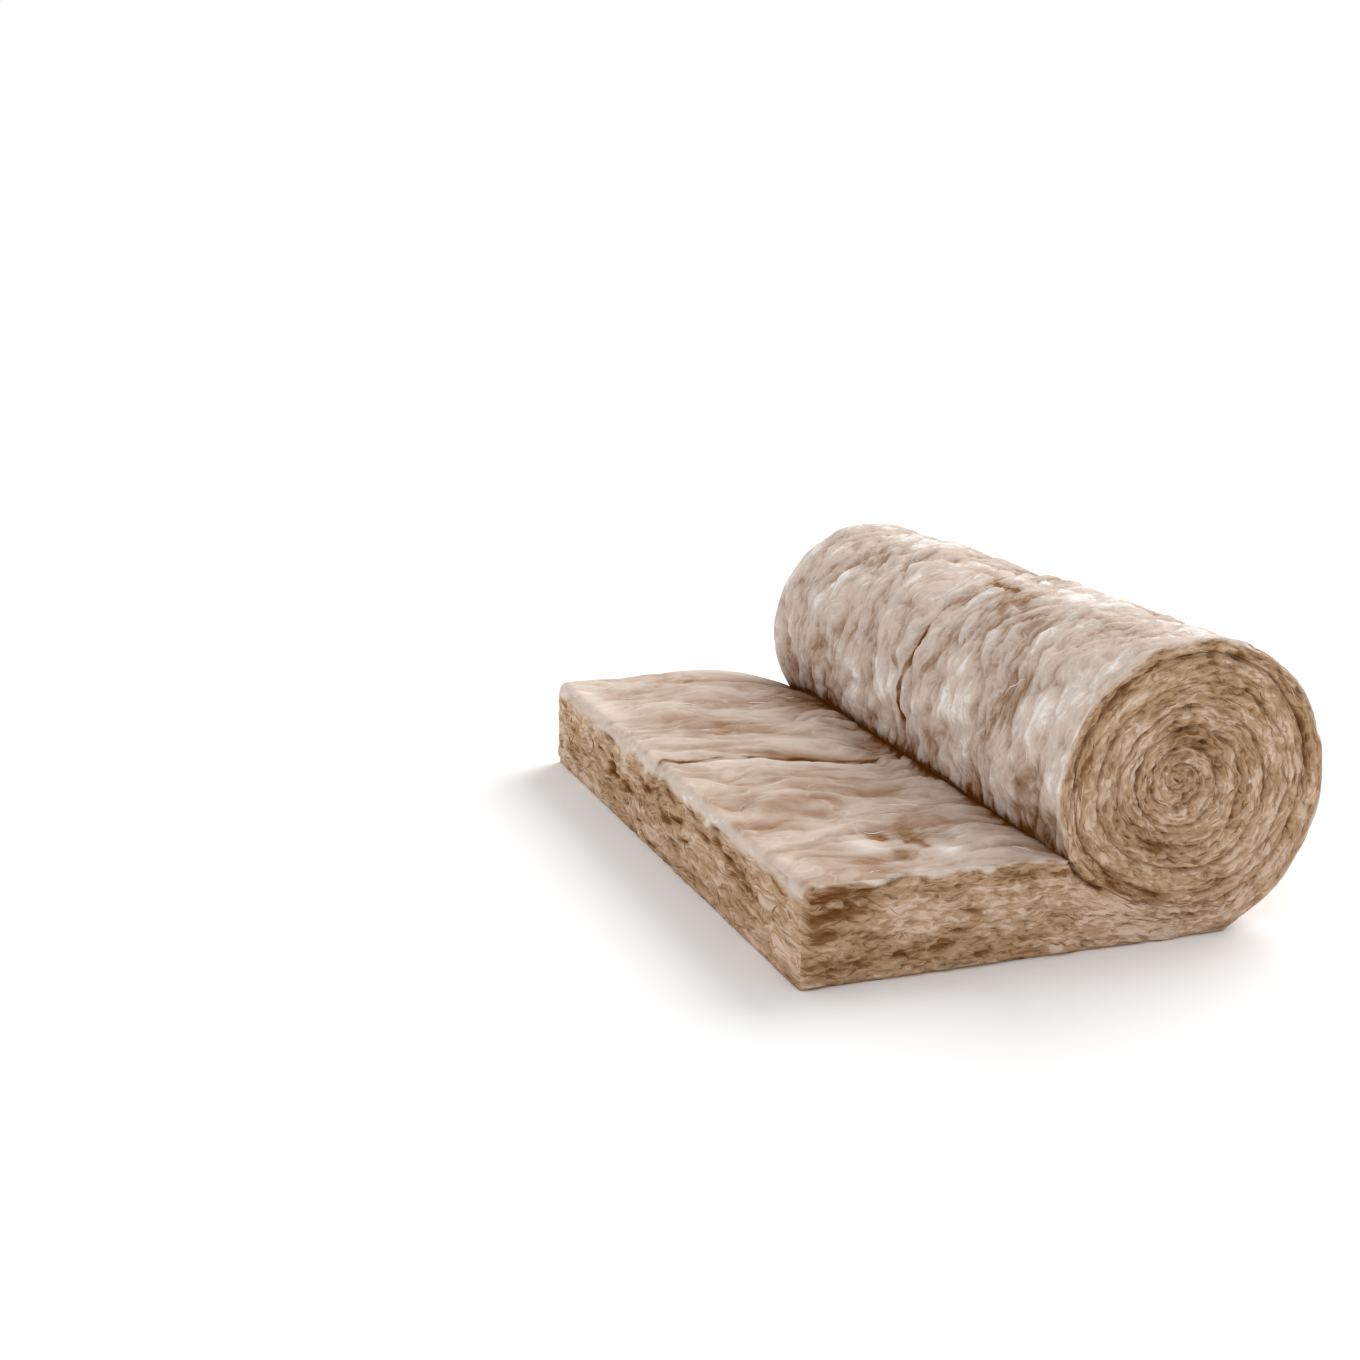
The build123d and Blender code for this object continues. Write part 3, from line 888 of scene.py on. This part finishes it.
def sample(grid, u, v):
    # values of a grid at places between its points
    u = np.clip(u, 0, grid.shape[0] - 1.001)
    v = np.clip(v, 0, grid.shape[1] - 1.001)
    i, j = u.astype(int), v.astype(int)
    fu, fv = (u - i)[..., None], (v - j)[..., None]
    low = grid[i, j] * (1 - fv) + grid[i, j + 1] * fv
    return low * (1 - fu) + (grid[i + 1, j] * (1 - fv) + grid[i + 1, j + 1] * fv) * fu


def onSurface(grid, rowPlaces, columnPlaces, a, b, lift, facing):
    # points a little above a grid of surface points whose rows and columns lie at known places;
    # facing is the side that is outside
    normal = surfaceNormals(grid)
    normal = normal * np.sign((normal * facing).sum(-1, keepdims=True) + 1e-9)
    u = np.interp(a, rowPlaces, np.arange(len(rowPlaces)))
    v = np.interp(b, columnPlaces, np.arange(len(columnPlaces)))
    return sample(grid, u, v) + sample(normal, u, v) * lift[..., None]


def lifted(count, top):
    return (between(0, top, count) + 0.0005) * bow - 0.0005


def skinStrands(kind):
    count, margin = kind["count"], kind["fromEdges"]
    nipS, topS = alongSkin[nipAt], alongSkin[topEnd - 1]
    length = between(*kind["length"], count)
    s0 = between(0, topS, count)
    y0 = between(-width / 2, width / 2, count)
    heading = mottle(s0 / 0.11, y0 / 0.1, 2.2, 71) * 1.1 + between(-0.3, 0.3, count)
    s = s0 + length * (t - 0.5) * np.cos(heading)
    y = y0 + length * ((t - 0.5) * np.sin(heading) + between(-0.22, 0.22, count) * (bow - 0.5))
    keep = ((s > 0.01) & (s < topS - margin) & (np.abs(y) < width / 2 - margin)).all(1)
    keep &= (s < nipS - 0.006).all(1) | (s > nipS + 0.006).all(1)
    s, y = s[keep], y[keep]
    lift = lifted(len(s), kind["lift"])
    path = np.empty(s.shape + (3,))
    for part, first, last in ((s[:, 0] < nipS, 0, nipAt + 1), (s[:, 0] > nipS, nipAt + 1, topEnd)):
        grid, facing, at = skinPoints[:, first:last], normals[:, first:last], alongSkin[first:last]
        path[part] = onSurface(grid, across, at, y[part], s[part], lift[part], facing)
    return path


def edgeStrands(face, kind, count, outward):
    # strands on the roll's end, or on the long edge of the let-out length
    ids, places, shares = face
    wave = kind["wave"]
    length = between(*kind["length"], count)
    w = between(places[0], places[-1], count) + (t - 0.5) * length
    share = between(0.03, 0.97, count) + between(-1.8, 1.8, count) * wave * (t - 0.5)
    swing = between(-wave, wave, count) * 0.6
    share = share + swing * np.sin(t * between(2, 5, count) + between(0, 6, count))
    keep = ((w > places[0]) & (w < places[-1] - 0.01) & (share > 0.015) & (share < 0.985)).all(1)
    lift = lifted(keep.sum(), strandLook["cutLift"])
    return onSurface(points[ids], places, shares, w[keep], share[keep], lift, (0, outward, 0))


def cutEndStrands(kind):
    count = kind["count"]
    length = between(*kind["length"], count)
    heading = between(-1.2, 1.6, count)
    y = between(-width / 2, width / 2, count)
    y = y + length * ((t - 0.5) * np.cos(heading) + between(-0.2, 0.2, count) * bow)
    z = between(0, thickness, count)
    z = z + length * ((t - 0.5) * np.sin(heading) + between(-0.2, 0.2, count) * bow)
    keep = ((np.abs(y) < width / 2 - 0.003) & (z > 0.003) & (z < thickness - kind["belowTop"])).all(1)
    lift = lifted(keep.sum(), strandLook["cutLift"])
    grid = skinPoints[:, topEnd:][:, ::-1]
    return onSurface(grid, across, cutLine[:, 1], y[keep], z[keep], lift, (-1, 0, 0))


def strandPiece(name, path, colour):
    # closed three-sided strands that taper to a point at both ends
    count, stations = path.shape[:2]
    forward = unit(np.gradient(path, axis=1))
    side = unit(np.cross(forward, chance.normal(size=(count, 1, 3))))
    other = np.cross(forward, side)
    radius = between(*strandLook["radius"], count) * np.sin(pi * (0.06 + 0.88 * t)) ** 0.6
    turns = [2 * pi * k / 3 for k in range(3)]
    rings = [path + (side * cos(a) + other * sin(a)) * radius[..., None] for a in turns]
    rings = np.stack(rings, 2)[:, 1:-1]
    body = np.hstack([path[:, :1], rings.reshape(count, -1, 3), path[:, -1:]])
    body[..., 2] = np.maximum(body[..., 2], 0.0)
    per, last = body.shape[1], body.shape[1] - 4
    shape = [[0, 1 + (k + 1) % 3, 1 + k] for k in range(3)]
    for low in range(1, last, 3):
        shape += [[low + k, low + (k + 1) % 3, low + 3 + (k + 1) % 3, low + 3 + k] for k in range(3)]
    shape += [[per - 1, last + k, last + (k + 1) % 3] for k in range(3)]
    faces = [[v + i * per for v in face] for i in range(count) for face in shape]
    piece = makeMesh(name, body.reshape(-1, 3), faces)
    piece.data.materials.append(plainMaterial(name, colour, strandLook["roughness"], 0.0))
    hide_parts(blanketNode)
    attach(piece, "root")
    print(name, "strands", count, "triangles", count * (6 * stations - 12))


strandPiece("paleSkinStrands", skinStrands(strandLook["skin"]), strandLook["paleSkin"])
for colour in ("paleCut", "brownCut"):
    paths = []
    for face in ("turns", "slab"):
        kind = strandLook[face]
        for end, count, outward in zip((nearEnd, farEnd), kind["counts"], (-1, 1)):
            paths.append(edgeStrands(end[face], kind, count, outward))
    paths.append(cutEndStrands(strandLook["cutEnd"]))
    strandPiece(colour + "Strands", np.vstack(paths), strandLook[colour])


# floor, light and camera

studio = {
    "floor": "f8f8f8", "floorReach": 80, "floorDrop": 0.0006,
    "fill": 0.68, "backdrop": 1.0,
    # heading 0 shines towards the camera's side, and a positive one comes round from the cut end
    "keySun": {"strength": 2.5, "softness": 45, "height": 36, "heading": -62},
    "sideSun": {"strength": 0.5, "softness": 70, "height": 30, "heading": 130},
}
reach, drop = studio["floorReach"], studio["floorDrop"]
corners = [(-reach, -reach, -drop), (reach, -reach, -drop), (reach, reach, -drop), (-reach, reach, -drop)]
floor = makeMesh("floor", np.array(corners), [[0, 1, 2, 3]])
floor.data.materials.append(plainMaterial("floor", studio["floor"], 0.9, 0.5))

camera = {
    "focalPixels": 2167, "framePixels": 1360, "sensorWidth": 36,
    "heading": 19.66, "tilt": 14.77,
    "place": (-1.072, -3.085, 1.156),      # from the cut end, the middle of the width and the floor
}
lens = bpy.data.cameras.new("camera")
lens.sensor_width = camera["sensorWidth"]
lens.lens = camera["focalPixels"] * camera["sensorWidth"] / camera["framePixels"]
viewer = addObject("camera", lens)
x, y, z = camera["place"]
viewer.location = (x + cutEndX, y, z)
viewer.rotation_euler = (radians(90 - camera["tilt"]), 0, -radians(camera["heading"]))
bpy.context.scene.camera = viewer

world = bpy.data.worlds.new("studio")
world.use_nodes = True
air = Wire(world.node_tree)
# the camera sees the backdrop, and everything else is lit by the fill
seen = air.node("ShaderNodeLightPath", {}, {})
fill, backdrop = (
    air.node("ShaderNodeBackground", {}, {"Color": "ffffff", "Strength": studio[light]})
    for light in ("fill", "backdrop")
)
either = air.node("ShaderNodeMixShader", {}, {0: seen, 1: fill, 2: backdrop})
air.feed(world.node_tree.nodes["World Output"].inputs["Surface"], either)
bpy.context.scene.world = world
bpy.context.scene.view_settings.view_transform = "Standard"

for name in ("keySun", "sideSun"):
    look = studio[name]
    sun = bpy.data.lights.new(name, "SUN")
    sun.energy = look["strength"]
    sun.angle = radians(look["softness"])
    lamp = addObject(name, sun)
    lamp.rotation_euler = (radians(look["height"] - 90), 0, radians(look["heading"]))
print("studio set")
